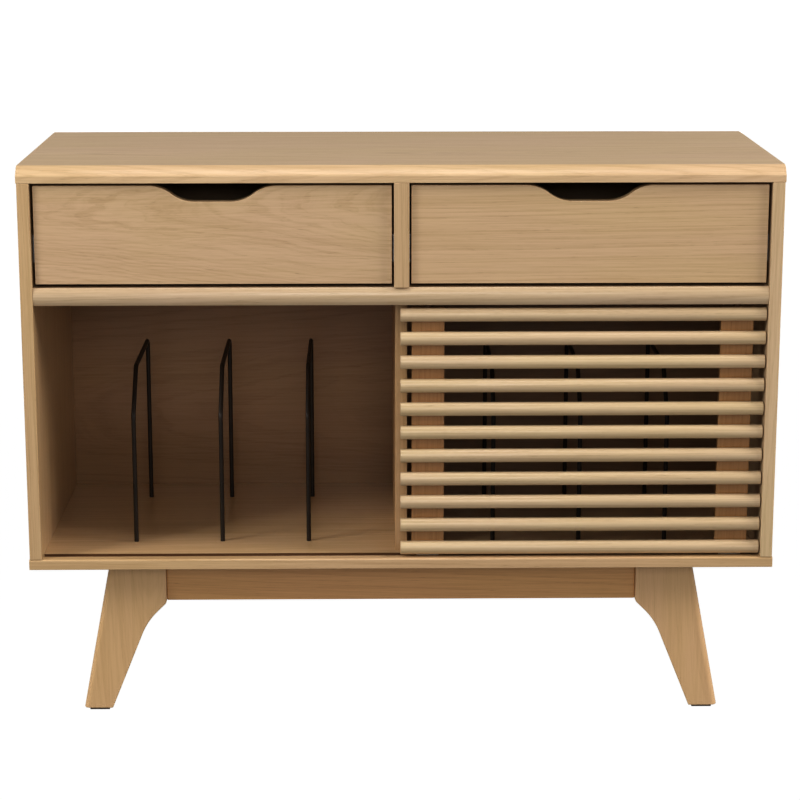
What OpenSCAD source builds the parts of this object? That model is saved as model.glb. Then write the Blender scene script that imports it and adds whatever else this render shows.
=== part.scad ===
// Media cabinet for records: two drawers above an open bay and a bay behind a sliding slatted door.
// The origin is at the middle of the footprint on the floor, +Z is up, +X is to the right
// and the front faces -Y. Lengths are in millimetres.

/* [Overall] */
// Width across the top panel
cabinet_w = 990; // [970:1:1010]
// Depth from front to back
cabinet_d = 394; // [388:1:400]
// Height from the floor to the top surface
cabinet_h = 750; // [744:1:756]
// Height of the underside of the bottom panel above the floor
leg_h = 212; // [206:1:218]

/* [Panels] */
// Thickness of the top panel
top_t = 22; // [20:0.5:24]
// Drop of the sloping front edge of the top panel
top_bevel_drop = 12.5; // [8:0.5:14]
// Depth of the sloping front edge of the top panel, from front to back
top_bevel_run = 13.6; // [8:0.2:16]
// Thickness of each side panel
side_t = 16; // [15:0.5:18]
// Overhang of the top and bottom panels past each side panel
side_reveal = 1; // [0.5:0.5:2]
// Thickness of the bottom panel
bottom_t = 14; // [13:0.5:16]
// Thickness of the middle shelf
shelf_t = 23.6; // [22:0.2:26]
// Clear height of the record bays
bay_h = 342; // [336:1:346]
// Thickness of the upright between the drawers
divider_t = 20; // [18:0.5:22]
// Thickness of the upright between the record bays
partition_t = 16; // [15:0.5:18]
// Distance from the front to the edge of the upright between the bays
partition_setback = 40; // [38:0.5:60]
// Thickness of the back panel
back_t = 5; // [4:0.5:6]

/* [Legs] */
// Thickness of each leg, from front to back
leg_t = 28; // [24:0.5:30]
// Distance from the front edge to the front legs
leg_setback = 42; // [38:1:50]
// Middle of the cabinet to the inner edge of a leg at its top
leg_inner_x = 317.4; // [300:0.2:325]
// Middle of the cabinet to the outer edge of a leg at its top
leg_outer_x = 392.7; // [388:0.1:400]
// Middle of the cabinet to the inner corner of the foot
foot_inner_x = 394.2; // [385:0.1:398]
// Middle of the cabinet to the outer corner of the foot
foot_outer_x = 433.1; // [428:0.1:440]
// Radius on the outer long edges of a leg
leg_edge_r = 8; // [3:0.5:8]
// Height of the aprons that join the legs
apron_h = 58.5; // [50:0.5:60]
// Thickness of the aprons and the side rails
apron_t = 18; // [16:0.5:20]
// Thickness of the pads under the legs
pad_t = 2; // [1.5:0.5:3]
// Width of the pads under the legs
pad_w = 26.6; // [20:0.2:28]
// Length of the pads, from front to back
pad_l = 26; // [20:0.5:26]

/* [Drawers] */
// Gap between a drawer front and the side of the cabinet
drawer_gap_outer = 3.5; // [2:0.5:4]
// Gap between a drawer front and the divider in the middle
drawer_gap_inner = 2.5; // [2:0.5:4]
// Gap under a drawer front
drawer_gap_low = 4.5; // [3:0.5:6]
// Gap over a drawer front
drawer_gap_top = 3.4; // [2:0.2:5]
// Distance from the front of the cabinet to the drawer fronts
drawer_recess = 6; // [4:0.5:8]
// Thickness of a drawer front
drawer_front_t = 16; // [15:0.5:18]
// Width of the finger scoop at the top edge
scoop_w = 166; // [130:1:170]
// Width of the flat bottom of the scoop
scoop_flat = 46; // [30:1:60]
// Depth of the scoop
scoop_d = 21; // [15:0.2:22]
// Length of the drawer box behind its front
box_l = 350; // [330:1:355]
// Height of the drawer box
box_h = 95; // [80:1:98]
// Thickness of the sides and back of a drawer box
box_t = 12; // [12:0.5:14]
// Thickness of a drawer bottom
box_bottom_t = 5; // [4:0.5:6]

/* [Door] */
// Number of slats
slat_count = 11; // [11:1:11]
// Height of one slat
slat_h = 17.6; // [16:0.1:19]
// Distance from one slat to the next
slat_pitch = 31.6; // [30:0.1:31.8]
// Thickness of a slat, from front to back
slat_t = 12; // [10:0.5:12]
// Length of a slat
slat_l = 478.2; // [476:0.1:479]
// Width of a stile
stile_w = 43; // [36:0.5:50]
// Thickness of a stile
stile_t = 12; // [11:0.5:12]
// Distance from a slat's end to the stile
stile_inset = 15; // [10:0.5:20]
// Distance from the front of the cabinet to the slats
door_setback = 3.5; // [3:0.5:4]
// Depth of the groove in the bottom panel
groove_low = 5; // [4:0.5:6]
// Depth of the groove in the shelf
groove_top = 8; // [7:0.5:9]

/* [Record dividers] */
// Number of wire dividers in each bay
wires_per_bay = 3; // [3:1:3]
// Diameter of the wire
wire_d = 6; // [5:0.5:7]
// Distance from the front of the cabinet to the front leg of a divider
wire_front = 87.6; // [80:0.2:100]
// Distance from the front leg to the rear leg of a divider
wire_span = 229.4; // [200:0.2:240]
// Height of a divider above the bay floor
wire_h = 233.5; // [200:0.5:260]
// Height at which the front leg starts to lean back
wire_knee_h = 175; // [150:1:190]
// Distance that the front leg leans back
wire_lean = 52; // [50:1:80]

/* [Hidden] */
$fn = 48;
front_y = -cabinet_d / 2;
rear_y = cabinet_d / 2;
back_y = rear_y - back_t;
half_w = cabinet_w / 2;
side_x1 = half_w - side_reveal;
side_x0 = side_x1 - side_t;
side_mid_x = (side_x0 + side_x1) / 2;
bay_z0 = leg_h + bottom_t;
bay_z1 = bay_z0 + bay_h;
shelf_z1 = bay_z1 + shelf_t;
drawers_z1 = cabinet_h - top_t;
divider_x = divider_t / 2;
partition_x = partition_t / 2;
partition_y = front_y + partition_setback;
over = 1;
bevel_bow = 1.3;
shelf_nose = 4.5;
bottom_edge_r = 2.5;

// The back panel lies in a rebate of the sides, the top and the bottom
rebate = 8;
rebate_end = 7;

// Door: the slats stand in front of the stiles, which glide in two lined grooves
door_side_gap = 1.4;
door_lift = 3.1;
door_x1 = side_x0 - door_side_gap;
door_x0 = door_x1 - slat_l;
door_z0 = bay_z0 + door_lift;
door_z1 = door_z0 + (slat_count - 1) * slat_pitch + slat_h;
slat_y0 = front_y + door_setback;
slat_y1 = slat_y0 + slat_t;
stile_y1 = slat_y1 + stile_t;
guide_y = slat_y1 + stile_t / 2;
groove_w = 12;
track_t = 1;
stile_x = [door_x0 + stile_inset, door_x1 - stile_inset - stile_w];
door_screw_off = 10;
door_screw_d = 3.5;
door_screw_l = 16;
door_head_d = 7;
door_head_t = 2;
glide_l = 30;
glide_w = 9.4;
glide_stem_d = 6;
glide_stem_l = 14;
guide_pin_d = 9;
guide_pin_l = 14;
guide_flange_d = 11;
guide_flange_t = 1.5;
guide_top_gap = 2.5;
glide_gap = 0.3;
slat_nose = 5;
slat_edge = 0.8;
slat_back_r = 1.5;

// Drawers: the left one, from drawer_x0 to drawer_x1; the right one is its mirror image
bay_drawer_x0 = -side_x0;
bay_drawer_x1 = -divider_x;
drawer_x0 = bay_drawer_x0 + drawer_gap_outer;
drawer_x1 = bay_drawer_x1 - drawer_gap_inner;
drawer_mid_x = (drawer_x0 + drawer_x1) / 2;
drawer_z0 = shelf_z1 + drawer_gap_low;
drawer_z1 = drawers_z1 - drawer_gap_top;
drawer_y0 = front_y + drawer_recess;
drawer_y1 = drawer_y0 + drawer_front_t;
slide_gap = 12.7;
box_lift = 6;
box_x0 = bay_drawer_x0 + slide_gap;
box_x1 = bay_drawer_x1 - slide_gap;
box_y1 = drawer_y1 + box_l;
box_z0 = drawer_z0 + box_lift;
box_z1 = box_z0 + box_h;
box_groove = 6;
box_bottom_lift = 6;
box_bottom_z = box_z0 + box_bottom_lift;

// Telescopic slides, 36 high, of three nested channels
slide_lift = 38;
slide_start = 2;
slide_z = box_z0 + slide_lift;
slide_y0 = drawer_y1 + slide_start;
slide_l = 350;
sheet_t = 1.2;
channel_h = [36, 26, 19];
channel_in = [0, 4.2, 11.5];
channel_flange = [9, 6.8, 5.7];

// Leg frame
leg_y0 = front_y + leg_setback;
leg_y1 = leg_y0 + leg_t;
leg_knee_z = 152;
leg_knee_r = 9;
leg_bend = [344, 126];
leg_bend_r = 95;
apron_inset = 8;
apron_y0 = leg_y0 + apron_inset;
apron_mid_y = apron_y0 + apron_t / 2;
apron_z0 = leg_h - apron_h;
rail_inset = 32;
rail_lift = 2;
rail_x = leg_inner_x + rail_inset;
rail_z0 = apron_z0 + rail_lift;
pad_inset = 1.8;
pad_x = (foot_inner_x + foot_outer_x) / 2 - pad_inset;
pad_y = (leg_y0 + leg_y1) / 2;

// Fixings
dowel_d = 8;
dowel_l = 30;
dowel_end = 9;
side_dowel_y = [-150, -10, 140];
cross_dowel_y = [-60, 60];
partition_dowel_y = [-120, 60];
divider_dowel_y = [-100, 100];
leg_dowel_z = [170, 196];
cam_d = 15;
cam_t = 12.5;
cam_back = 34;
cam_slot_l = 9;
cam_slot_w = 1.6;
top_cam_y = [-130, 130];
shelf_cam_y = [-120, 120];
cam_bolt_d = 6;
cam_bolt_end = 10;
shelf_bolt_lift = 8;
screw_d = 4;
screw_l = 45;
screw_head_d = 8;
screw_head_t = 3;
screw_bore_d = 9;
apron_bore = 22;
panel_bore = 4;
back_screw_d = 3;
back_screw_l = 15;
back_head_d = 6;
back_head_t = 1.5;

// A wire divider stands in bores of the bottom panel
wire_hole = 8;
wire_bend_r = 9;
bend_swell = 0.06;
bend_lap = 0.5;

oak = [0.74, 0.60, 0.43];
oak_light = [0.80, 0.68, 0.52];
oak_shade = [0.62, 0.47, 0.32];
birch = [0.83, 0.74, 0.58];
black_steel = [0.06, 0.05, 0.05];
zinc = [0.72, 0.73, 0.74];
nylon = [0.90, 0.89, 0.85];
pad_brown = [0.22, 0.15, 0.10];
track_brown = [0.24, 0.14, 0.07];

// ---------- Outlines ----------

function unit(v) = v / norm(v);
function turn(a) = a > 180 ? a - 360 : a < -180 ? a + 360 : a;

// Points on the arc round c that starts at p and turns through sweep degrees
function arc_from(c, p, sweep, n) =
    let (a = atan2(p.y - c.y, p.x - c.x))
    [for (i = [0:n]) c + norm(p - c) * [cos(a + sweep * i / n), sin(a + sweep * i / n)]];

function sweep_to(c, p, q) = turn(atan2(q.y - c.y, q.x - c.x) - atan2(p.y - c.y, p.x - c.x));

// Points from p to q on an arc that stands s proud, to the left of the way from p to q
function bow(p, q, s, n = 12) =
    let (d = q - p)
    let (r = (d * d / 4 + s * s) / (2 * s))
    let (c = (p + q) / 2 - unit([-d.y, d.x]) * (r - s))
    arc_from(c, p, sweep_to(c, p, q), n);

// The corner p between a and b, rounded with radius r
function corner(a, p, b, r, n = 10) =
    let (u = unit(a - p))
    let (v = unit(b - p))
    let (half = acos(u * v) / 2)
    let (c = p + unit(u + v) * r / sin(half))
    let (reach = r / tan(half))
    arc_from(c, p + u * reach, sweep_to(c, p + u * reach, p + v * reach), n);

// ---------- Placing ----------

// A box between two opposite corners
module board(low, high) {
    translate(low)
        cube(high - low);
}

// An outline in Y and Z, run along X from x0 to x1
module along_x(x0, x1) {
    translate([x0, 0, 0])
        rotate([90, 0, 90])
            linear_extrude(x1 - x0)
                children();
}

// An outline in X and Z, run along Y from y0 to y1
module along_y(y0, y1) {
    translate([0, y1, 0])
        rotate([90, 0, 0])
            linear_extrude(y1 - y0)
                children();
}

// A round bar of diameter d from p to q
module bar(p, q, d) {
    v = q - p;
    translate(p)
        rotate([0, acos(v.z / norm(v)), atan2(v.y, v.x)])
            cylinder(h = norm(v), d = d);
}

// The children, and their copy mirrored left to right
module both_sides() {
    children();
    mirror([1, 0, 0])
        children();
}

// The children, and their copy mirrored front to back
module both_ends() {
    children();
    mirror([0, 1, 0])
        children();
}

// ---------- Fixings ----------

module dowel(middle, way) {
    bar(middle - way * dowel_l / 2, middle + way * dowel_l / 2, dowel_d);
}

// A dowel that goes dowel_end deep beyond the joint face, in the direction way
module joint_dowel(face, way) {
    bar(face + way * dowel_end, face - way * (dowel_l - dowel_end), dowel_d);
}

module dowel_shapes() {
    both_sides() {
        for (y = side_dowel_y)
            joint_dowel([side_mid_x, y, bay_z0], [0, 0, -1]);
        for (y = cross_dowel_y) {
            joint_dowel([side_mid_x, y, drawers_z1], [0, 0, 1]);
            joint_dowel([side_x0, y, (bay_z1 + shelf_z1) / 2], [1, 0, 0]);
        }
        both_ends()
            for (z = leg_dowel_z) {
                dowel([leg_inner_x, apron_mid_y, z], [1, 0, 0]);
                dowel([rail_x, leg_y1, z], [0, 1, 0]);
            }
    }
    for (y = partition_dowel_y) {
        joint_dowel([0, y, bay_z0], [0, 0, -1]);
        joint_dowel([0, y, bay_z1], [0, 0, 1]);
    }
    for (y = divider_dowel_y)
        joint_dowel([0, y, shelf_z1], [0, 0, -1]);
}

// A cam lock: its round body sunk in a face, and the bolt that it pulls
// seat is the middle of the lock on that face, inward points into the panel and pull along the bolt
module cam_body(seat, inward, extra = 0) {
    bar(seat - inward * extra, seat + inward * cam_t, cam_d);
}

module cam_slot(seat, inward, pull) {
    side = cross(inward, pull);
    for (way = [pull, side])
        bar(seat - way * cam_slot_l / 2, seat + way * cam_slot_l / 2, cam_slot_w);
}

// Each site is the seat, the way in, the pull, and how deep the bolt lies below the face
cam_sites = [
    for (y = top_cam_y, side = [-1, 1])
        [[side * side_x0, y, drawers_z1 - cam_back], [side, 0, 0], [0, 0, 1], side_t / 2],
    for (y = top_cam_y)
        [[divider_x, y, drawers_z1 - cam_back], [-1, 0, 0], [0, 0, 1], divider_x],
    for (y = shelf_cam_y, side = [-1, 1])
        [[side * (side_x0 - cam_back), y, bay_z1], [0, 0, 1], [side, 0, 0], shelf_bolt_lift]
];

module cam_shapes(extra = 0) {
    for (s = cam_sites)
        cam_body(s[0], s[1], extra);
}

module cam_bolt_shapes() {
    for (s = cam_sites) {
        start = s[0] + s[1] * s[3];
        bar(start, start + s[2] * (cam_back + cam_bolt_end), cam_bolt_d);
    }
}

// Screws driven upwards: the head sits at seat, in a bore that is open below
module up_screw(seat) {
    bar(seat, seat + [0, 0, screw_l], screw_d);
    bar(seat - [0, 0, screw_head_t], seat, screw_head_d);
}

module up_bore(seat, depth) {
    bar(seat, seat + [0, 0, screw_l], screw_d);
    bar(seat - [0, 0, depth + over], seat, screw_bore_d);
}

frame_seats = [
    for (x = [-260, -100, 100, 260], y = [-1, 1]) [x, y * apron_mid_y, apron_z0 + apron_bore],
    for (x = [-rail_x, rail_x], y = [-70, 70]) [x, y, apron_z0 + apron_bore]
];
panel_seats = [
    for (x = [-side_mid_x, side_mid_x], y = [-100, 80]) [x, y, leg_h + panel_bore],
    for (y = [-80, 120]) [0, y, leg_h + panel_bore]
];

module screw_bores() {
    for (s = frame_seats)
        up_bore(s, apron_bore);
    for (s = panel_seats)
        up_bore(s, panel_bore);
}

back_sites = [
    for (z = [260, 400, 500, 640, 700], x = [-1, 1]) [x * (side_x0 + rebate / 2), z],
    for (x = [-240, -80, 80, 240]) [x, (bay_z1 + shelf_z1) / 2],
    for (x = [-360, -120, 120, 360]) [x, drawers_z1 + rebate_end / 2],
    for (x = [-360, -120, 120, 360]) [x, bay_z0 - rebate_end / 2],
    for (z = [330, 450]) [0, z]
];

module back_screw_shapes() {
    for (s = back_sites) {
        bar([s.x, rear_y - back_screw_l, s.y], [s.x, rear_y, s.y], back_screw_d);
        bar([s.x, rear_y - back_head_t, s.y], [s.x, rear_y, s.y], back_head_d);
    }
}

// Everything that the carcass and the leg frame are drilled for
module joinery() {
    dowel_shapes();
    cam_shapes(over);
    cam_bolt_shapes();
    screw_bores();
}

// A wooden piece of the carcass, drilled for its fixings
module drilled(colour) {
    color(colour)
        difference() {
            children();
            joinery();
        }
}

// A wooden piece that the back panel is screwed to as well
module drilled_rear(colour) {
    color(colour)
        difference() {
            children();
            joinery();
            back_screw_shapes();
        }
}

// ---------- Carcass ----------

module top_panel() {
    bevel_low = [front_y, cabinet_h - top_bevel_drop];
    bevel_high = [front_y + top_bevel_run, cabinet_h];
    drilled_rear(oak)
        difference() {
            along_x(-half_w, half_w)
                polygon(concat(
                    [[rear_y, drawers_z1], [front_y, drawers_z1]],
                    bow(bevel_low, bevel_high, bevel_bow),
                    [[rear_y, cabinet_h]]
                ));
            board([-side_x0 - rebate, back_y, drawers_z1 - over],
                  [side_x0 + rebate, rear_y + over, drawers_z1 + rebate_end]);
        }
}

module bottom_panel() {
    drilled_rear(oak)
        difference() {
            along_x(-half_w, half_w)
                polygon(concat(
                    [[rear_y, leg_h], [front_y, leg_h]],
                    corner([front_y, leg_h], [front_y, bay_z0], [rear_y, bay_z0], bottom_edge_r),
                    [[rear_y, bay_z0]]
                ));
            board([-side_x0, guide_y - groove_w / 2, bay_z0 - groove_low],
                  [side_x0, guide_y + groove_w / 2, bay_z0 + over]);
            board([-side_x0 - rebate, back_y, bay_z0 - rebate_end],
                  [side_x0 + rebate, rear_y + over, bay_z0 + over]);
            for (i = [0:2 * wires_per_bay - 1])
                wire_loop(i);
        }
}

module side_panel() {
    drilled_rear(oak)
        difference() {
            board([side_x0, front_y, bay_z0], [side_x1, rear_y, drawers_z1]);
            board([side_x0 - over, back_y, bay_z0 - over],
                  [side_x0 + rebate, rear_y + over, drawers_z1 + over]);
        }
}

module left_side_panel() {
    mirror([1, 0, 0])
        side_panel();
}

module right_side_panel() {
    side_panel();
}

module middle_shelf() {
    nose = shelf_nose;
    drilled_rear(oak)
        difference() {
            along_x(-side_x0, side_x0)
                polygon(concat(
                    [[back_y, bay_z1]],
                    bow([front_y + nose, bay_z1], [front_y + nose, shelf_z1], nose, 20),
                    [[back_y, shelf_z1]]
                ));
            board([-side_x0 - over, guide_y - groove_w / 2, bay_z1 - over],
                  [side_x0 + over, guide_y + groove_w / 2, bay_z1 + groove_top]);
        }
}

module drawer_divider() {
    drilled(oak)
        board([-divider_x, front_y, shelf_z1], [divider_x, back_y, drawers_z1]);
}

module bay_partition() {
    drilled_rear(oak_shade)
        board([-partition_x, partition_y, bay_z0], [partition_x, back_y, bay_z1]);
}

module back_panel() {
    color(oak_shade)
        difference() {
            board([-side_x0 - rebate, back_y, bay_z0 - rebate_end],
                  [side_x0 + rebate, rear_y, drawers_z1 + rebate_end]);
            back_screw_shapes();
        }
}

// ---------- Leg frame ----------

module front_apron() {
    drilled(oak_shade)
        board([-leg_inner_x, apron_y0, apron_z0], [leg_inner_x, apron_y0 + apron_t, leg_h]);
}

module rear_apron() {
    mirror([0, 1, 0])
        front_apron();
}

module right_side_rail() {
    drilled(oak_shade)
        board([rail_x - apron_t / 2, leg_y1, rail_z0], [rail_x + apron_t / 2, -leg_y1, leg_h]);
}

module left_side_rail() {
    mirror([1, 0, 0])
        right_side_rail();
}

// Side view of a right leg: upright inside edge, a step out at the knee, then a straight splay
function leg_outline() = concat(
    [[leg_inner_x, leg_h]],
    corner([leg_inner_x, leg_h], [leg_inner_x, leg_knee_z], leg_bend, leg_knee_r),
    corner([leg_inner_x, leg_knee_z], leg_bend, [foot_inner_x, pad_t], leg_bend_r),
    [[foot_inner_x, pad_t], [foot_outer_x, pad_t], [leg_outer_x, leg_h]]
);

// A long bar whose rounded side lies on the leg's sloping outer edge
module leg_rounding() {
    foot = [foot_outer_x, 0, pad_t];
    slope = atan2(foot_outer_x - leg_outer_x, leg_h - pad_t);
    depth = 200;
    reach = 320;
    translate(foot)
        rotate([0, -slope, 0])
            translate([0, 0, -reach / 4])
                linear_extrude(reach) {
                    translate([-depth, leg_y0])
                        square([depth - leg_edge_r, leg_t]);
                    translate([-depth, leg_y0 + leg_edge_r])
                        square([depth, leg_t - 2 * leg_edge_r]);
                    for (y = [leg_y0 + leg_edge_r, leg_y1 - leg_edge_r])
                        translate([-leg_edge_r, y])
                            circle(leg_edge_r);
                }
}

module leg_front_right() {
    drilled(oak)
        intersection() {
            along_y(leg_y0, leg_y1)
                polygon(leg_outline());
            leg_rounding();
        }
}

module leg_front_left() {
    mirror([1, 0, 0])
        leg_front_right();
}

module leg_rear_right() {
    mirror([0, 1, 0])
        leg_front_right();
}

module leg_rear_left() {
    mirror([1, 0, 0])
        leg_rear_right();
}

module foot_pads() {
    color(pad_brown)
        both_sides()
            both_ends()
                board([pad_x - pad_w / 2, pad_y - pad_l / 2, 0],
                      [pad_x + pad_w / 2, pad_y + pad_l / 2, pad_t]);
}

// ---------- Wire record dividers ----------

// One bend of the wire at p, in a plane, where it turns from the way in to the way out
module wire_bend(a, p, b) {
    u = unit(a - p);
    v = unit(b - p);
    half = acos(u * v) / 2;
    c = p + unit(u + v) * wire_bend_r / sin(half);
    s = p + u * wire_bend_r / tan(half);
    e = p + v * wire_bend_r / tan(half);
    sweep = sweep_to(c, s, e);
    start = sweep > 0 ? s : e;
    translate(c)
        rotate([0, 0, atan2(start.y - c.y, start.x - c.x)])
            rotate_extrude(angle = abs(sweep))
                translate([wire_bend_r, 0])
                    circle(d = wire_d + bend_swell);
}

// Distance from a corner to where its bend starts
function bend_reach(a, p, b) = wire_bend_r / tan(acos(unit(a - p) * unit(b - p)) / 2);

// A bent wire through the points of a path in a plane
// The straight lengths lap a little into the bends, which are thicker by a hair
module bent_wire(path) {
    last = len(path) - 1;
    for (i = [1:last - 1])
        wire_bend(path[i - 1], path[i], path[i + 1]);
    for (i = [0:last - 1]) {
        way = unit(path[i + 1] - path[i]);
        start = i == 0 ? path[0]
            : path[i] + way * (bend_reach(path[i - 1], path[i], path[i + 1]) - bend_lap);
        end = i == last - 1 ? path[last]
            : path[i + 1] - way * (bend_reach(path[i], path[i + 1], path[i + 2]) - bend_lap);
        bar([start.x, start.y, 0], [end.x, end.y, 0], wire_d);
    }
}

wire_y0 = front_y + wire_front;
wire_y1 = wire_y0 + wire_span;
wire_z0 = bay_z0 - wire_hole;
wire_path = [
    [wire_y0, wire_z0],
    [wire_y0, bay_z0 + wire_knee_h],
    [wire_y0 + wire_lean, bay_z0 + wire_h],
    [wire_y1, bay_z0 + wire_h],
    [wire_y1, wire_z0]
];

// The dividers part each bay into equal compartments
bay_clear_w = side_x0 - partition_x;
function wire_x(i) =
    let (step = bay_clear_w / (wires_per_bay + 1))
    i < wires_per_bay ? -side_x0 + step * (i + 1) : partition_x + step * (i - wires_per_bay + 1);

module wire_loop(i) {
    translate([wire_x(i), 0, 0])
        rotate([90, 0, 90])
            bent_wire(wire_path);
}

module record_divider(i) {
    color(black_steel)
        wire_loop(i);
}

// ---------- Sliding door ----------

function slat_z(i) = door_z1 - slat_h - i * slat_pitch;

module door_screw_shapes() {
    for (i = [0:slat_count - 1], x = stile_x) {
        outward = x == stile_x[0] ? -1 : 1;
        p = [x + stile_w / 2 + outward * door_screw_off, stile_y1, slat_z(i) + slat_h / 2];
        bar(p, p - [0, door_screw_l, 0], door_screw_d);
        bar(p, p - [0, door_head_t, 0], door_head_d);
    }
}

module door_slat(i) {
    z = slat_z(i);
    nose_y = slat_y0 + slat_nose;
    color(oak_light)
        difference() {
            along_x(door_x0, door_x1)
                polygon(concat(
                    corner([nose_y, z], [slat_y1, z], [slat_y1, z + slat_h], slat_back_r, 4),
                    corner([slat_y1, z], [slat_y1, z + slat_h], [slat_y0, z + slat_h], slat_back_r, 4),
                    [[nose_y + slat_edge, z + slat_h]],
                    bow([nose_y, z + slat_h - slat_edge / 2], [nose_y, z + slat_edge / 2], -slat_nose, 20),
                    [[nose_y + slat_edge, z]]
                ));
            door_screw_shapes();
        }
}

module door_glide_shapes() {
    for (x = stile_x) {
        mid = x + stile_w / 2;
        floor_z = bay_z0 - groove_low + track_t + glide_gap;
        translate([0, 0, floor_z])
            linear_extrude(door_z0 - floor_z) {
                translate([mid - (glide_l - glide_w) / 2, guide_y - glide_w / 2])
                    square([glide_l - glide_w, glide_w]);
                for (side = [-1, 1])
                    translate([mid + side * (glide_l - glide_w) / 2, guide_y])
                        circle(d = glide_w);
            }
        bar([mid, guide_y, door_z0], [mid, guide_y, door_z0 + glide_stem_l], glide_stem_d);
    }
}

module door_guide_shapes() {
    pin_z1 = bay_z1 + groove_top - guide_top_gap;
    for (x = stile_x) {
        mid = x + stile_w / 2;
        bar([mid, guide_y, door_z1 - guide_pin_l], [mid, guide_y, pin_z1], guide_pin_d);
        bar([mid, guide_y, door_z1], [mid, guide_y, door_z1 + guide_flange_t], guide_flange_d);
    }
}

module door_stile(x) {
    color(oak)
        difference() {
            board([x, slat_y1, door_z0], [x + stile_w, stile_y1, door_z1]);
            door_screw_shapes();
            door_glide_shapes();
            door_guide_shapes();
        }
}

module door_stile_left() {
    door_stile(stile_x[0]);
}

module door_stile_right() {
    door_stile(stile_x[1]);
}

module door_bottom_glides() {
    color(nylon)
        door_glide_shapes();
}

module door_top_guides() {
    color(track_brown)
        door_guide_shapes();
}

module door_screws() {
    color(zinc)
        door_screw_shapes();
}

// The liner of one groove: a channel whose lips end at lip_z, where the groove opens
module track(floor_z, lip_z) {
    inside_z = floor_z + sign(lip_z - floor_z) * track_t;
    outside_z = lip_z + sign(lip_z - floor_z) * over;
    difference() {
        board([-side_x0, guide_y - groove_w / 2, min(floor_z, lip_z)],
              [side_x0, guide_y + groove_w / 2, max(floor_z, lip_z)]);
        board([-side_x0 - over, guide_y - groove_w / 2 + track_t, min(inside_z, outside_z)],
              [side_x0 + over, guide_y + groove_w / 2 - track_t, max(inside_z, outside_z)]);
    }
}

module door_tracks() {
    color(track_brown) {
        track(bay_z0 - groove_low, bay_z0);
        track(bay_z1 + groove_top, bay_z1);
    }
}

// ---------- Drawers ----------

// The scoop: two equal arcs on each side run from the top edge down to a flat bottom
module scoop() {
    run = (scoop_w - scoop_flat) / 2;
    r = (run * run + scoop_d * scoop_d) / (4 * scoop_d);
    swing = 2 * atan(scoop_d / run);
    // Where the two arcs meet
    inflection = [-scoop_flat / 2 - r * sin(swing), r * (1 - cos(swing)) - scoop_d];
    side = concat(
        arc_from([-scoop_w / 2, -r], [-scoop_w / 2, 0], -swing, 10),
        arc_from([-scoop_flat / 2, r - scoop_d], inflection, swing, 10)
    );
    other = [for (i = [len(side) - 1:-1:0]) [-side[i].x, side[i].y]];
    translate([drawer_mid_x, drawer_z1])
        polygon(concat([[-scoop_w / 2, over]], side, other, [[scoop_w / 2, over]]));
}

module drawer_bottom_shape() {
    board([box_x0 + box_t - box_groove, drawer_y1 - box_groove, box_bottom_z],
          [box_x1 - box_t + box_groove, box_y1 - box_t + box_groove, box_bottom_z + box_bottom_t]);
}

module left_drawer_front() {
    color(oak)
        difference() {
            board([drawer_x0, drawer_y0, drawer_z0], [drawer_x1, drawer_y1, drawer_z1]);
            along_y(drawer_y0 - over, drawer_y1 + over)
                scoop();
            drawer_bottom_shape();
        }
}

module drawer_side(x0, x1) {
    color(birch)
        difference() {
            board([x0, drawer_y1, box_z0], [x1, box_y1, box_z1]);
            drawer_bottom_shape();
        }
}

module left_drawer_side_outer() {
    drawer_side(box_x0, box_x0 + box_t);
}

module left_drawer_side_inner() {
    drawer_side(box_x1 - box_t, box_x1);
}

module left_drawer_back() {
    color(birch)
        difference() {
            board([box_x0 + box_t, box_y1 - box_t, box_z0], [box_x1 - box_t, box_y1, box_z1]);
            drawer_bottom_shape();
        }
}

module left_drawer_bottom() {
    color(birch)
        drawer_bottom_shape();
}

module right_drawer_front() {
    mirror([1, 0, 0])
        left_drawer_front();
}

module right_drawer_side_outer() {
    mirror([1, 0, 0])
        left_drawer_side_outer();
}

module right_drawer_side_inner() {
    mirror([1, 0, 0])
        left_drawer_side_inner();
}

module right_drawer_back() {
    mirror([1, 0, 0])
        left_drawer_back();
}

module right_drawer_bottom() {
    mirror([1, 0, 0])
        left_drawer_bottom();
}

// ---------- Drawer slides ----------

// One channel of a slide: stage 0 is screwed to the cabinet, 1 runs between, 2 is on the drawer
// The channel's wall stands at x = 0 and its lips point towards +X for lip = 1 and -X for lip = -1
module channel(stage) {
    h = channel_h[stage];
    lip = stage == 2 ? -1 : 1;
    wall_x = channel_in[stage];
    far_x = wall_x + (lip > 0 ? 0 : sheet_t - channel_flange[stage]);
    color(zinc)
        translate([0, slide_y0, slide_z]) {
            board([wall_x, 0, -h / 2], [wall_x + sheet_t, slide_l, h / 2]);
            for (z = [-h / 2, h / 2 - sheet_t])
                board([far_x, 0, z], [far_x + channel_flange[stage], slide_l, z + sheet_t]);
        }
}

// The pair of channels of the left drawer
module left_channels(stage) {
    translate([bay_drawer_x0, 0, 0])
        channel(stage);
    translate([bay_drawer_x1, 0, 0])
        mirror([1, 0, 0])
            channel(stage);
}

module right_channels(stage) {
    mirror([1, 0, 0])
        left_channels(stage);
}

module slide_cabinet_channels() {
    left_channels(0);
    right_channels(0);
}

// ---------- Fixings as parts ----------

module wood_dowels() {
    color(birch)
        dowel_shapes();
}

module cam_locks() {
    color(zinc)
        difference() {
            cam_shapes();
            cam_bolt_shapes();
            for (s = cam_sites)
                cam_slot(s[0], s[1], s[2]);
        }
}

module cam_bolts() {
    color(zinc)
        cam_bolt_shapes();
}

module underside_screws() {
    color(zinc) {
        for (s = frame_seats)
            up_screw(s);
        for (s = panel_seats)
            up_screw(s);
    }
}

module back_panel_screws() {
    color(zinc)
        back_screw_shapes();
}

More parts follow.
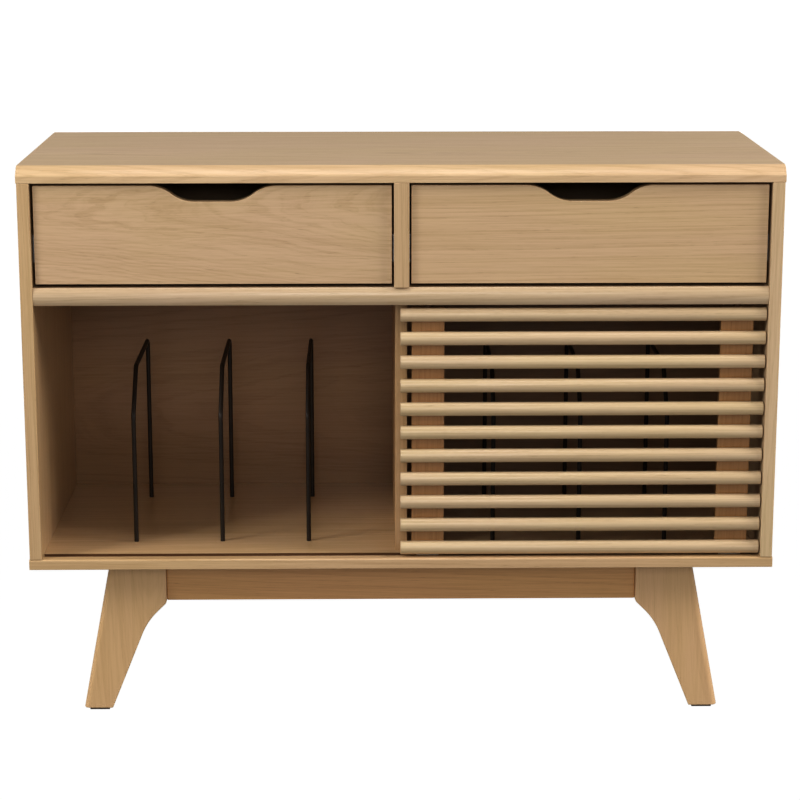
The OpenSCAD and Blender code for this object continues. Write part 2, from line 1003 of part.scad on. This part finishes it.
top_panel();
bottom_panel();
left_side_panel();
right_side_panel();
middle_shelf();
drawer_divider();
bay_partition();
back_panel();
front_apron();
rear_apron();
left_side_rail();
right_side_rail();
leg_front_left();
leg_front_right();
leg_rear_left();
leg_rear_right();
foot_pads();
record_divider(0);  // record_divider_1
record_divider(1);  // record_divider_2
record_divider(2);  // record_divider_3
record_divider(3);  // record_divider_4
record_divider(4);  // record_divider_5
record_divider(5);  // record_divider_6
door_slat(0);  // door_slat_01
door_slat(1);  // door_slat_02
door_slat(2);  // door_slat_03
door_slat(3);  // door_slat_04
door_slat(4);  // door_slat_05
door_slat(5);  // door_slat_06
door_slat(6);  // door_slat_07
door_slat(7);  // door_slat_08
door_slat(8);  // door_slat_09
door_slat(9);  // door_slat_10
door_slat(10);  // door_slat_11
door_stile_left();
door_stile_right();
door_bottom_glides();
door_top_guides();
door_screws();
door_tracks();
left_drawer_front();
left_drawer_side_outer();
left_drawer_side_inner();
left_drawer_back();
left_drawer_bottom();
right_drawer_front();
right_drawer_side_outer();
right_drawer_side_inner();
right_drawer_back();
right_drawer_bottom();
slide_cabinet_channels();
left_channels(1);  // left_slide_middle_channels
right_channels(1);  // right_slide_middle_channels
left_channels(2);  // left_slide_drawer_channels
right_channels(2);  // right_slide_drawer_channels
wood_dowels();
cam_locks();
cam_bolts();
underside_screws();
back_panel_screws();
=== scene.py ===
"""The media cabinet's looks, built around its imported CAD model.

Every piece is a CAD node that keeps its mesh. The script gives each one a procedural material
and, where it is oak, fine rounded edges, and then it sets the stage, the lights and the camera.
Lengths are in metres, +Z is up and the front of the cabinet faces -Y.
"""
import math

import bpy
from mathutils import Euler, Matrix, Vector


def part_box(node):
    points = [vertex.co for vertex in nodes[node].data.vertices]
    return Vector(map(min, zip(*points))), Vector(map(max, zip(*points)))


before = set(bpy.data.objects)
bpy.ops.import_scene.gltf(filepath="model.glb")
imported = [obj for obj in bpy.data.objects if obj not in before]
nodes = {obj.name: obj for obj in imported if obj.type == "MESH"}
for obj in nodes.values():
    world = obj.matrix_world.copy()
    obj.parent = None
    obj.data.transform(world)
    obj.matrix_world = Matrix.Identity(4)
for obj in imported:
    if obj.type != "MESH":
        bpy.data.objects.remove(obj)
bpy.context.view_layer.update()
scene = bpy.context.scene


# ---------- Camera ----------

# Pitch is down and yaw to the right, in degrees, and the lens and the sensor are in millimetres
CAMERA_PLACE = (-0.046, -3.182, 1.129)
CAMERA_PITCH = 12.95
CAMERA_YAW = 0.84
CAMERA_LENS = 105.2
SENSOR_WIDTH = 36


def add_camera():
    data = bpy.data.cameras.new("camera")
    data.lens = CAMERA_LENS
    data.sensor_width = SENSOR_WIDTH
    camera = bpy.data.objects.new("camera", data)
    camera.location = CAMERA_PLACE
    camera.rotation_euler = Euler((math.radians(90 - CAMERA_PITCH), 0, math.radians(-CAMERA_YAW)))
    scene.collection.objects.link(camera)
    scene.camera = camera


# ---------- Shader helpers ----------

# The Mix node's sockets for each kind of value: the share, the first, the second and the result
MIX_SOCKETS = {"RGBA": (0, 6, 7, 2), "VECTOR": (0, 4, 5, 1)}


class Shader:
    """One material and short ways to add nodes to it."""

    def __init__(self, name):
        self.material = bpy.data.materials.new(name)
        self.material.use_nodes = True
        self.tree = self.material.node_tree
        self.surface = self.tree.nodes["Principled BSDF"]
        self.places = self.tree.nodes.new("ShaderNodeTexCoord")

    def add(self, kind, settings=None, **inputs):
        """A node of that kind; an input is a number, a colour or another node's output."""
        node = self.tree.nodes.new(kind)
        for key, value in (settings or {}).items():
            setattr(node, key, value)
        for key, value in inputs.items():
            self.feed(node.inputs[key.replace("_", " ")], value)
        return node

    def feed(self, socket, value):
        if isinstance(value, bpy.types.NodeSocket):
            self.tree.links.new(value, socket)
        else:
            socket.default_value = value

    def feed_all(self, sockets, values):
        for socket, value in zip(sockets, values):
            self.feed(socket, value)

    def math(self, operation, *values):
        node = self.add("ShaderNodeMath", {"operation": operation})
        self.feed_all(node.inputs, values)
        return node.outputs["Value"]

    def vector_math(self, operation, *values):
        node = self.add("ShaderNodeVectorMath", {"operation": operation})
        self.feed_all(node.inputs, values)
        return node.outputs["Value" if operation == "LENGTH" else "Vector"]

    def stretch(self, vector, scale):
        return self.vector_math("MULTIPLY", vector, scale)

    def along(self, vector, axis):
        """How far the vector reaches along the X, Y or Z axis."""
        return self.add("ShaderNodeSeparateXYZ", None, Vector=vector).outputs[axis]

    def turned(self, vector, turn, shift=(0, 0, 0)):
        node = self.add("ShaderNodeMapping", {"vector_type": "POINT"}, Vector=vector,
                        Rotation=turn, Location=shift)
        return node.outputs["Vector"]

    def noise(self, vector, detail=2.0, roughness=0.5, distortion=0.0, colour=False):
        node = self.add("ShaderNodeTexNoise", None, Vector=vector, Scale=1.0, Detail=detail,
                        Roughness=roughness, Distortion=distortion)
        return node.outputs["Color" if colour else "Fac"]

    def noise_line(self, value, detail=2.0, roughness=0.5):
        """Noise that varies with one number only."""
        node = self.add("ShaderNodeTexNoise", {"noise_dimensions": "1D"}, W=value, Scale=1.0,
                        Detail=detail, Roughness=roughness)
        return node.outputs["Fac"]

    def fade(self, value, low, high, to_low=0.0, to_high=1.0):
        """value from low to high, turned smoothly into to_low to to_high."""
        node = self.add("ShaderNodeMapRange", {"interpolation_type": "SMOOTHSTEP"})
        self.feed_all(node.inputs, (value, low, high, to_low, to_high))
        return node.outputs["Result"]

    def spread(self, noise, to_low=0.0, to_high=1.0):
        """A noise, which seldom leaves 0.3 to 0.7, spread over to_low to to_high."""
        return self.fade(noise, 0.3, 0.7, to_low, to_high)

    def mix(self, share, first, second, kind="RGBA"):
        node = self.add("ShaderNodeMix", {"data_type": kind})
        *sockets, result = MIX_SOCKETS[kind]
        self.feed_all([node.inputs[place] for place in sockets], (share, first, second))
        return node.outputs[result]

    def bump(self, height, distance, strength):
        node = self.add("ShaderNodeBump", None, Height=height, Distance=distance, Strength=strength)
        self.tree.links.new(node.outputs["Normal"], self.surface.inputs["Normal"])

    def finish(self, **inputs):
        for key, value in inputs.items():
            self.feed(self.surface.inputs[key.replace("_", " ")], value)
        return self.material


def rgb(red, green, blue):
    return (red, green, blue, 1.0)


def tinted(colour, tint):
    """The colour's red, green and blue, each times the tint's."""
    return rgb(*(part * share for part, share in zip(colour, tint)))


WHITE = rgb(1, 1, 1)


# ---------- Oak ----------

OAK_LIGHT = rgb(0.645, 0.465, 0.290)
OAK_DARK = rgb(0.490, 0.328, 0.182)
OAK_PINK = rgb(0.622, 0.435, 0.292)
OAK_GOLD = rgb(0.585, 0.430, 0.233)
OAK_PORE = rgb(0.270, 0.165, 0.085)

# How fast each pattern changes per metre, along the grain and across it, or outwards for rings
DRIFT_SCALE = (1.6, 9.0, 9.0)
RIPPLE_SCALE = (20.0, 70.0, 70.0)
FIBRE_SCALE = (4.5, 380.0, 380.0)
THREAD_SCALE = (15.0, 1200.0, 1200.0)
PORE_SCALE = (60.0, 1700.0, 1700.0)
PATCH_SCALE = (3.2, 14.0, 14.0)
BAND_SCALE = 70.0
RING_SCALE = 300.0

# How much each pattern darkens the wood
BAND_SHARE = 0.20
RING_SHARE = 0.36
FIBRE_SHARE = 0.34
THREAD_SHARE = 0.30
DARKEST = BAND_SHARE + RING_SHARE + FIBRE_SHARE + THREAD_SHARE
PORE_SHARE = 0.40
BLUSH_SHARE = 0.25

# A noise strays about a quarter from its middle, so this brings it to a whole
NOISE_GAIN = 4
RIPPLE_SHARE = 0.7

# Each seed moves a piece along the tree, and an edge band comes from another part of it
SEED_STEP = 0.73
EDGE_BAND_SHIFT = (0, 0.31, 0.17)
END_FACING = 0.7

GLOSS = (0.34, 0.44)
PORE_ROUGHNESS = 0.15
FIBRE_RELIEF = 0.35
OAK_RELIEF = 0.00008
OAK_IOR = 1.46
LACQUER = 0.35
LACQUER_HAZE = 0.16

# Turns that lay an axis of the cabinet along the grain, which is the wood's own x
GRAIN_TURN = {
    "x": (0, 0, 0),
    "y": (0, 0, math.radians(-90)),
    "z": (0, math.radians(90), 0),
}
NO_TURN = GRAIN_TURN["x"]


def wood_place(s, grain, pith, seed, banded):
    """The place in the tree that each point of the piece was cut from."""
    wood = s.turned(s.places.outputs["Object"], GRAIN_TURN[grain])
    if banded:
        facing = s.turned(s.places.outputs["Normal"], GRAIN_TURN[grain])
        on_end = s.math("GREATER_THAN", s.math("ABSOLUTE", s.along(facing, "X")), END_FACING)
        crossed = s.turned(wood, GRAIN_TURN["y"], EDGE_BAND_SHIFT)
        wood = s.mix(on_end, wood, crossed, "VECTOR")
    return s.turned(wood, NO_TURN, (seed * SEED_STEP, *pith))


def oak(name, grain, pith, seed, taper, tint, wander=0.003, depth=1.0, banded=False):
    """Lacquered oak with its grain along one axis of the cabinet.

    pith: shift that puts the middle of the tree on the wood's own x axis.
    taper: how fast the rings close in along the grain, which draws the pointed arches.
    tint: how much of the oak's red, green and blue this piece has; for the back panel, the aprons
    and the stiles it is painted shade.
    wander: about how far the lines stray, in metres. depth: how strongly they show.
    banded: the two ends of the grain wear an edge band, whose grain runs across.
    """
    s = Shader(name)
    wood = wood_place(s, grain, pith, seed, banded)

    # The tree isn't straight, so its lines wander
    drift = s.noise(s.stretch(wood, DRIFT_SCALE), colour=True)
    drift = s.vector_math("SUBTRACT", drift, (0.5, 0.5, 0.5))
    stray = wander * NOISE_GAIN
    bent = s.vector_math("ADD", wood, s.stretch(drift, (0.0, stray, stray)))
    radius = s.vector_math("LENGTH", s.stretch(bent, (0.0, 1.0, 1.0)))
    radius = s.math("SUBTRACT", radius, s.math("MULTIPLY", s.along(bent, "X"), taper))
    ripple = s.math("SUBTRACT", s.noise(s.stretch(bent, RIPPLE_SCALE), detail=3.0), 0.5)
    radius = s.math("ADD", radius, s.math("MULTIPLY", ripple, wander * RIPPLE_SHARE))

    # Yearly rings: broad bands, and the fine lines between them
    bands = s.noise_line(s.math("MULTIPLY", radius, BAND_SCALE), detail=1.0)
    bands = s.fade(bands, 0.30, 0.72)
    rings = s.noise_line(s.math("MULTIPLY", radius, RING_SCALE), detail=3.0, roughness=0.65)
    rings = s.fade(rings, 0.40, 0.70)

    # Fibres, and the open pores that an oak has in the early part of each ring
    fibres = s.noise(s.stretch(bent, FIBRE_SCALE), detail=3.0, roughness=0.60)
    threads = s.noise(s.stretch(bent, THREAD_SCALE), detail=1.0)
    pores = s.noise(s.stretch(bent, PORE_SCALE), detail=1.0)
    early = s.fade(rings, 0.25, 0.9, 0.25, 1.0)
    pores = s.math("MULTIPLY", s.fade(pores, 0.60, 0.74), early)

    # Colour
    shade = s.math("MULTIPLY", bands, BAND_SHARE)
    shade = s.math("ADD", shade, s.math("MULTIPLY", rings, RING_SHARE))
    shade = s.math("ADD", shade, s.fade(fibres, 0.36, 0.66, 0.0, FIBRE_SHARE))
    shade = s.math("ADD", shade, s.fade(threads, 0.35, 0.70, 0.0, THREAD_SHARE))
    lightest = 0.5 - 0.5 * depth
    shade = s.fade(shade, 0.0, DARKEST, lightest, 1.0 - lightest)
    colour = s.mix(shade, tinted(OAK_LIGHT, tint), tinted(OAK_DARK, tint))
    patches = s.fade(s.noise(s.stretch(wood, PATCH_SCALE)), 0.35, 0.65)
    blush = s.mix(patches, tinted(OAK_PINK, tint), tinted(OAK_GOLD, tint))
    colour = s.mix(BLUSH_SHARE, colour, blush)
    dark_pores = s.math("MULTIPLY", pores, PORE_SHARE * depth)
    colour = s.mix(dark_pores, colour, tinted(OAK_PORE, tint))

    # A thin satin lacquer follows the pores
    gloss = s.math("ADD", s.spread(fibres, *GLOSS), s.math("MULTIPLY", pores, PORE_ROUGHNESS))
    relief = s.math("SUBTRACT", s.math("MULTIPLY", fibres, FIBRE_RELIEF), pores)
    s.bump(relief, OAK_RELIEF, 0.6)
    return s.finish(Base_Color=colour, Roughness=gloss, IOR=OAK_IOR, Coat_Weight=LACQUER,
                    Coat_Roughness=LACQUER_HAZE)


# ---------- The other materials ----------

PLY_LIGHT = rgb(0.680, 0.500, 0.310)
PLY_DARK = rgb(0.600, 0.420, 0.240)
PLY_FIBRE = rgb(0.500, 0.330, 0.180)
PLY_LAYER_LIGHT = rgb(0.640, 0.450, 0.260)
PLY_LAYER_DARK = rgb(0.330, 0.200, 0.105)
PLY_LAYER = 0.0015
PLY_SEED_STEP = 0.37
WIRE_DARK = rgb(0.015, 0.009, 0.005)
WIRE_LIGHT = rgb(0.027, 0.016, 0.009)
ZINC_LIGHT = rgb(0.600, 0.610, 0.620)
ZINC_DARK = rgb(0.500, 0.510, 0.530)
NYLON_LIGHT = rgb(0.760, 0.745, 0.690)
NYLON_DARK = rgb(0.690, 0.670, 0.610)
TRACK_DARK = rgb(0.130, 0.062, 0.026)
TRACK_LIGHT = rgb(0.170, 0.084, 0.036)
FELT_DARK = rgb(0.045, 0.028, 0.018)
FELT_LIGHT = rgb(0.095, 0.062, 0.042)


def plywood(name, face_axis, layer_axis, seed):
    """Birch plywood: calm curly faces, and thin layers on the edges."""
    s = Shader(name)
    place = s.places.outputs["Object"]
    wood = s.turned(place, GRAIN_TURN[face_axis], (seed * PLY_SEED_STEP, 0.11, 0.05))
    figure = s.noise(s.stretch(wood, (4.0, 26.0, 26.0)), detail=3.0, distortion=1.2)
    fibres = s.noise(s.stretch(wood, (14.0, 520.0, 520.0)))
    face = s.mix(s.spread(figure), PLY_LIGHT, PLY_DARK)
    face = s.mix(s.fade(fibres, 0.4, 0.7, 0.0, 0.35), face, PLY_FIBRE)
    axis = layer_axis.upper()
    layers = s.math("PINGPONG", s.math("MULTIPLY", s.along(place, axis), 1 / PLY_LAYER), 1.0)
    edge = s.mix(s.fade(layers, 0.42, 0.58), PLY_LAYER_LIGHT, PLY_LAYER_DARK)
    facing = s.along(s.places.outputs["Normal"], axis)
    on_edge = s.fade(s.math("ABSOLUTE", facing), 0.3, 0.6, 1.0, 0.0)
    s.bump(fibres, 0.00006, 0.5)
    return s.finish(Base_Color=s.mix(on_edge, face, edge), Roughness=s.spread(fibres, 0.42, 0.56))


def black_wire():
    """Black powder coat: a slight orange peel over round wire."""
    s = Shader("black_wire")
    place = s.places.outputs["Object"]
    peel = s.noise(s.stretch(place, (900.0, 900.0, 900.0)))
    cloud = s.noise(s.stretch(place, (40.0, 40.0, 40.0)))
    colour = s.mix(s.spread(cloud), WIRE_DARK, WIRE_LIGHT)
    s.bump(peel, 0.00012, 0.5)
    return s.finish(Base_Color=colour, Roughness=s.spread(peel, 0.38, 0.52))


def zinc_steel():
    """Bright zinc plate on pressed steel, drawn along Y and lightly clouded."""
    s = Shader("zinc_steel")
    place = s.places.outputs["Object"]
    drawn = s.noise(s.stretch(place, (900.0, 18.0, 900.0)))
    cloud = s.noise(s.stretch(place, (60.0, 60.0, 60.0)), detail=3.0)
    colour = s.mix(s.spread(cloud), ZINC_LIGHT, ZINC_DARK)
    s.bump(drawn, 0.00004, 0.5)
    return s.finish(Base_Color=colour, Metallic=1.0, Roughness=s.spread(drawn, 0.26, 0.42))


def white_nylon():
    """Moulded nylon: milky, with the faint haze of the mould."""
    s = Shader("nylon")
    place = s.places.outputs["Object"]
    haze = s.noise(s.stretch(place, (300.0, 300.0, 300.0)), detail=3.0)
    colour = s.mix(haze, NYLON_LIGHT, NYLON_DARK)
    s.bump(haze, 0.00005, 0.4)
    return s.finish(Base_Color=colour, Roughness=s.spread(haze, 0.34, 0.46))


def brown_track():
    """Dark brown extruded plastic, drawn along X."""
    s = Shader("door_track")
    place = s.places.outputs["Object"]
    drawn = s.noise(s.stretch(place, (12.0, 700.0, 700.0)))
    colour = s.mix(drawn, TRACK_DARK, TRACK_LIGHT)
    s.bump(drawn, 0.00004, 0.4)
    return s.finish(Base_Color=colour, Roughness=s.spread(drawn, 0.38, 0.52))


def felt_pad():
    """Dark brown felt under the feet."""
    s = Shader("felt_pad")
    place = s.places.outputs["Object"]
    fuzz = s.noise(s.stretch(place, (1800.0, 1800.0, 1800.0)), detail=3.0, distortion=0.8)
    clumps = s.noise(s.stretch(place, (220.0, 220.0, 220.0)))
    colour = s.mix(s.spread(fuzz), FELT_DARK, FELT_LIGHT)
    s.bump(s.math("ADD", fuzz, clumps), 0.0003, 0.7)
    return s.finish(Base_Color=colour, Roughness=s.spread(clumps, 0.86, 0.98), Sheen_Weight=0.3)


# ---------- Fine edges ----------

WELD = 0.00001
FLAT = math.radians(1.0)
SHARP = math.radians(32)
PANEL_EDGE = 0.0007
SOLID_EDGE = 0.0012
SLAT_EDGE = 0.0006
PLY_EDGE = 0.0005
BACK_EDGE = 0.0003


def soften(node, width, segments=2):
    """Rounds every sharp edge of a wooden piece by a hair, with modifiers on the CAD node.

    The CAD's own normals and sharp marks go, so that the new edges are shaded smoothly.
    """
    if node.data.has_custom_normals:
        node.data.attributes.remove(node.data.attributes["custom_normal"])
    sharp = node.data.attributes.get("sharp_edge")
    if sharp:
        node.data.attributes.remove(sharp)
    weld = node.modifiers.new("join", "WELD")
    weld.merge_threshold = WELD
    plane = node.modifiers.new("flat faces", "DECIMATE")
    plane.decimate_type = "DISSOLVE"
    plane.angle_limit = FLAT
    bevel = node.modifiers.new("soft edges", "BEVEL")
    bevel.width = width
    bevel.segments = segments
    bevel.limit_method = "ANGLE"
    bevel.angle_limit = SHARP
    bevel.use_clamp_overlap = False
    bevel.loop_slide = False
    bevel.harden_normals = True


def paint(name, material):
    slots = nodes[name].data.materials
    slots.clear()
    slots.append(material)


# ---------- Dressing ----------

# Painted shade: the back panel is tinted much darker and browner to stand in for the shade deep in
# the bays, and its outer face carries the same tint
BACK_PAINTED_SHADE = (0.58, 0.48, 0.39)
LEG_TINT = (1.14, 1.08, 0.97)
# Painted shade: the aprons and rails are tinted a deeper, more saturated brown that stands in for
# the colour of the shade under the cabinet's overhang
APRON_PAINTED_SHADE = (1.07, 0.88, 0.64)
SLAT_TINT = (1.01, 1.08, 1.11)
# Painted shade: the door's stiles are tinted darker and browner than the slats, standing in for the
# shade they sit in
STILE_PAINTED_SHADE = (0.64, 0.48, 0.31)

# Each panel of the case: grain axis, pith across the grain, taper of the rings, tint
CASE_WOOD = {
    "top_panel": ("x", (0.060, -0.690), 0.050, (1.08, 1.09, 1.08)),
    "bottom_panel": ("x", (0.210, -0.390), 0.020, (0.98, 0.95, 0.87)),
    "left_side_panel": ("z", (0.420, 0.120), 0.020, (0.96, 0.94, 0.86)),
    "right_side_panel": ("z", (-0.330, 0.260), 0.030, (1.02, 1.06, 1.06)),
    "middle_shelf": ("x", (0.350, -0.480), 0.015, (0.98, 1.03, 1.12)),
    "drawer_divider": ("z", (0.280, 0.150), 0.020, (0.95, 0.93, 0.90)),
    "bay_partition": ("z", (0.190, -0.210), 0.020, (0.94, 0.86, 0.74)),
    "left_drawer_front": ("x", (0.238, -0.692), 0.090, (0.98, 0.98, 0.98)),
    "right_drawer_front": ("x", (0.190, -0.520), 0.018, (0.99, 0.99, 0.97)),
}
# Panels cut where the tree's lines are curly, and how far those stray
FIGURED = ("left_drawer_front",)
FIGURED_WANDER = 0.010
CALM_WANDER = 0.003

# Each part of a drawer's box: the axis along its face grain and the axis through its layers
DRAWER_PLYWOOD = {
    "side_outer": ("y", "x"),
    "side_inner": ("y", "x"),
    "back": ("x", "y"),
    "bottom": ("y", "z"),
}


def dress_wood(name, edge, segments=2, **cut):
    """Gives a wooden piece its own oak, cut as oak() says, and fine rounded edges."""
    paint(name, oak("oak_" + name, **cut))
    soften(nodes[name], edge, segments)


def dress_case():
    for i, (name, (grain, pith, taper, tint)) in enumerate(CASE_WOOD.items()):
        wander = FIGURED_WANDER if name in FIGURED else CALM_WANDER
        dress_wood(name, PANEL_EDGE, grain=grain, pith=pith, seed=1 + i, taper=taper, tint=tint,
                   wander=wander, banded=True)
    dress_wood("back_panel", BACK_EDGE, grain="x", pith=(0.100, -0.350), seed=11, taper=0.030,
               tint=BACK_PAINTED_SHADE, wander=0.004, banded=True)


def dress_legs():
    """Each leg is cut a few centimetres from the pith, and a little farther than the last."""
    for i, corner in enumerate(("front_left", "front_right", "rear_left", "rear_right")):
        name = "leg_" + corner
        low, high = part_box(name)
        middle = (low + high) / 2
        pith = (0.050 - middle.y, 0.035 + middle.x + 0.010 * i)
        dress_wood(name, SOLID_EDGE, segments=3, grain="z", pith=pith, seed=20 + i, taper=0.060,
                   tint=LEG_TINT, depth=0.6)


def dress_aprons():
    for i, name in enumerate(("front_apron", "rear_apron")):
        dress_wood(name, SOLID_EDGE, grain="x", pith=(0.120 + 0.270 * i, -0.260), seed=30 + i,
                   taper=0.040, tint=APRON_PAINTED_SHADE)
    for i, name in enumerate(("left_side_rail", "right_side_rail")):
        dress_wood(name, SOLID_EDGE, grain="y", pith=(0.350 - 0.700 * i, -0.240), seed=33 + i,
                   taper=0.030, tint=APRON_PAINTED_SHADE)


def dress_door():
    """The slats are straight-grained, each cut from another place before or above the pith."""
    slats = sorted(name for name in nodes if name.startswith("door_slat_"))
    for i, name in enumerate(slats):
        low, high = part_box(name)
        ahead = 0.0295 + 0.011 * (i * 5 % 7)
        above = 0.020 - 0.013 * (i * 3 % 5)
        dress_wood(name, SLAT_EDGE, grain="x", pith=(ahead - low.y, -above - high.z),
                   seed=40 + i, taper=0.004, tint=SLAT_TINT, wander=0.0004)
    for i, name in enumerate(("door_stile_left", "door_stile_right")):
        low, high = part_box(name)
        dress_wood(name, SOLID_EDGE, grain="z", pith=(0.240, low.x - 0.060), seed=60 + i,
                   taper=0.025, tint=STILE_PAINTED_SHADE, wander=0.002)


def dress_drawers():
    for i, side in enumerate(("left", "right")):
        for part, (face_axis, layer_axis) in DRAWER_PLYWOOD.items():
            name = side + "_drawer_" + part
            paint(name, plywood("ply_" + name, face_axis, layer_axis, i + len(part)))
            soften(nodes[name], PLY_EDGE)


def dress_fittings():
    wire = black_wire()
    zinc = zinc_steel()
    nylon = white_nylon()
    pad = felt_pad()
    track = brown_track()
    # The dowels are hidden, and the plywood's birch is close to their beech
    beech = plywood("dowel_beech", "x", "y", 5)
    for name in nodes:
        if name.startswith("record_divider_"):
            paint(name, wire)
        elif name.startswith("door_bottom"):
            paint(name, nylon)
        elif name == "door_tracks" or name.startswith("door_top"):
            paint(name, track)
        elif name == "foot_pads":
            paint(name, pad)
        elif name == "wood_dowels":
            paint(name, beech)
        elif "channels" in name or "screws" in name or name.startswith("cam_"):
            paint(name, zinc)


# ---------- Stage ----------

FLOOR_R = 7.0
SWEEP_R = 2.0
BACKDROP_H = 9.0
SWEEP_STEPS = 16
ROUND_STEPS = 72
PAPER_DULL = rgb(0.93, 0.93, 0.93)
PAPER_BRIGHT = rgb(0.96, 0.96, 0.96)
PAPER_GLOW = 1.0


def stage_mesh():
    """A round floor that curves up into a wall on every side."""
    profile = [(FLOOR_R, 0.0)]
    for i in range(1, SWEEP_STEPS + 1):
        angle = math.pi / 2 * i / SWEEP_STEPS
        profile.append((FLOOR_R + SWEEP_R * math.sin(angle), SWEEP_R * (1 - math.cos(angle))))
    profile.append((FLOOR_R + SWEEP_R, BACKDROP_H))
    turns = [2 * math.pi * i / ROUND_STEPS for i in range(ROUND_STEPS)]
    points = [(r * math.cos(turn), r * math.sin(turn), z) for r, z in profile for turn in turns]
    faces = [tuple(range(ROUND_STEPS))]
    for ring in range(len(profile) - 1):
        low = ring * ROUND_STEPS
        high = low + ROUND_STEPS
        for i in range(ROUND_STEPS):
            j = (i + 1) % ROUND_STEPS
            faces.append((low + i, low + j, high + j, high + i))
    mesh = bpy.data.meshes.new("studio_floor")
    mesh.from_pydata(points, [], faces)
    mesh.polygons.foreach_set("use_smooth", [True] * len(faces))
    return mesh


def studio_paper():
    """White paper that glows enough to be plain white, so it shows no shadow."""
    s = Shader("studio_paper")
    grain = s.noise(s.stretch(s.places.outputs["Object"], (60.0, 60.0, 60.0)))
    colour = s.mix(grain, PAPER_DULL, PAPER_BRIGHT)
    return s.finish(Base_Color=colour, Roughness=0.95, Emission_Color=WHITE,
                    Emission_Strength=PAPER_GLOW)


def add_stage():
    """The paper neither lights the cabinet nor shows in its lacquer: the lights do that."""
    floor = bpy.data.objects.new("studio_floor", stage_mesh())
    scene.collection.objects.link(floor)
    floor.data.materials.append(studio_paper())
    floor.visible_diffuse = False
    floor.visible_glossy = False
    floor.visible_shadow = False


# ---------- Lights ----------

AIM = Vector((0.0, -0.10, 0.40))
LIGHT_FAR = 3.2

# Each soft light around the cabinet: bearing from the front towards +X and rise above the
# level, both in degrees, then width and height in metres and power in watts
LIGHTS = {
    "left": (-62, 28, 0.8, 1.3, 54.0),
    "right": (74, 28, 0.8, 1.3, 64.0),
    "left_low": (-90, 5, 0.7, 0.9, 12.0),
    "right_low": (88, 5, 0.7, 0.9, 18.0),
    "top": (0, 75, 1.6, 0.9, 24.0),
    "front": (0, 20, 1.0, 0.7, 16.0),
    "floor_bounce": (0, -15, 3.6, 0.7, 12.0),
    "back_left": (-150, 15, 1.2, 1.2, 22.0),
    "back_right": (150, 15, 1.2, 1.2, 22.0),
}
# Lights that only fill the shade and leave no shine
FILLS = ("floor_bounce", "back_left", "back_right")
WORLD_LIGHT = 0.30
CONTRAST = 0.75


def add_light(name, bearing, rise, width, height, power):
    around = math.radians(bearing)
    up = math.radians(rise)
    away = Vector((math.sin(around) * math.cos(up), -math.cos(around) * math.cos(up), math.sin(up)))
    data = bpy.data.lights.new(name, "AREA")
    data.shape = "RECTANGLE"
    data.size = width
    data.size_y = height
    data.energy = power
    light = bpy.data.objects.new(name, data)
    light.location = AIM + away * LIGHT_FAR
    light.rotation_euler = (-away).to_track_quat("-Z", "Y").to_euler()
    light.visible_glossy = name not in FILLS
    scene.collection.objects.link(light)


def add_lights():
    for name, light in LIGHTS.items():
        add_light(name, *light)
    world = bpy.data.worlds.new("studio")
    world.use_nodes = True
    background = world.node_tree.nodes["Background"]
    background.inputs["Color"].default_value = WHITE
    background.inputs["Strength"].default_value = WORLD_LIGHT
    scene.world = world
    scene.view_settings.view_transform = "Standard"
    scene.view_settings.gamma = CONTRAST


add_camera()
dress_case()
dress_legs()
dress_aprons()
dress_door()
dress_drawers()
dress_fittings()
add_stage()
add_lights()
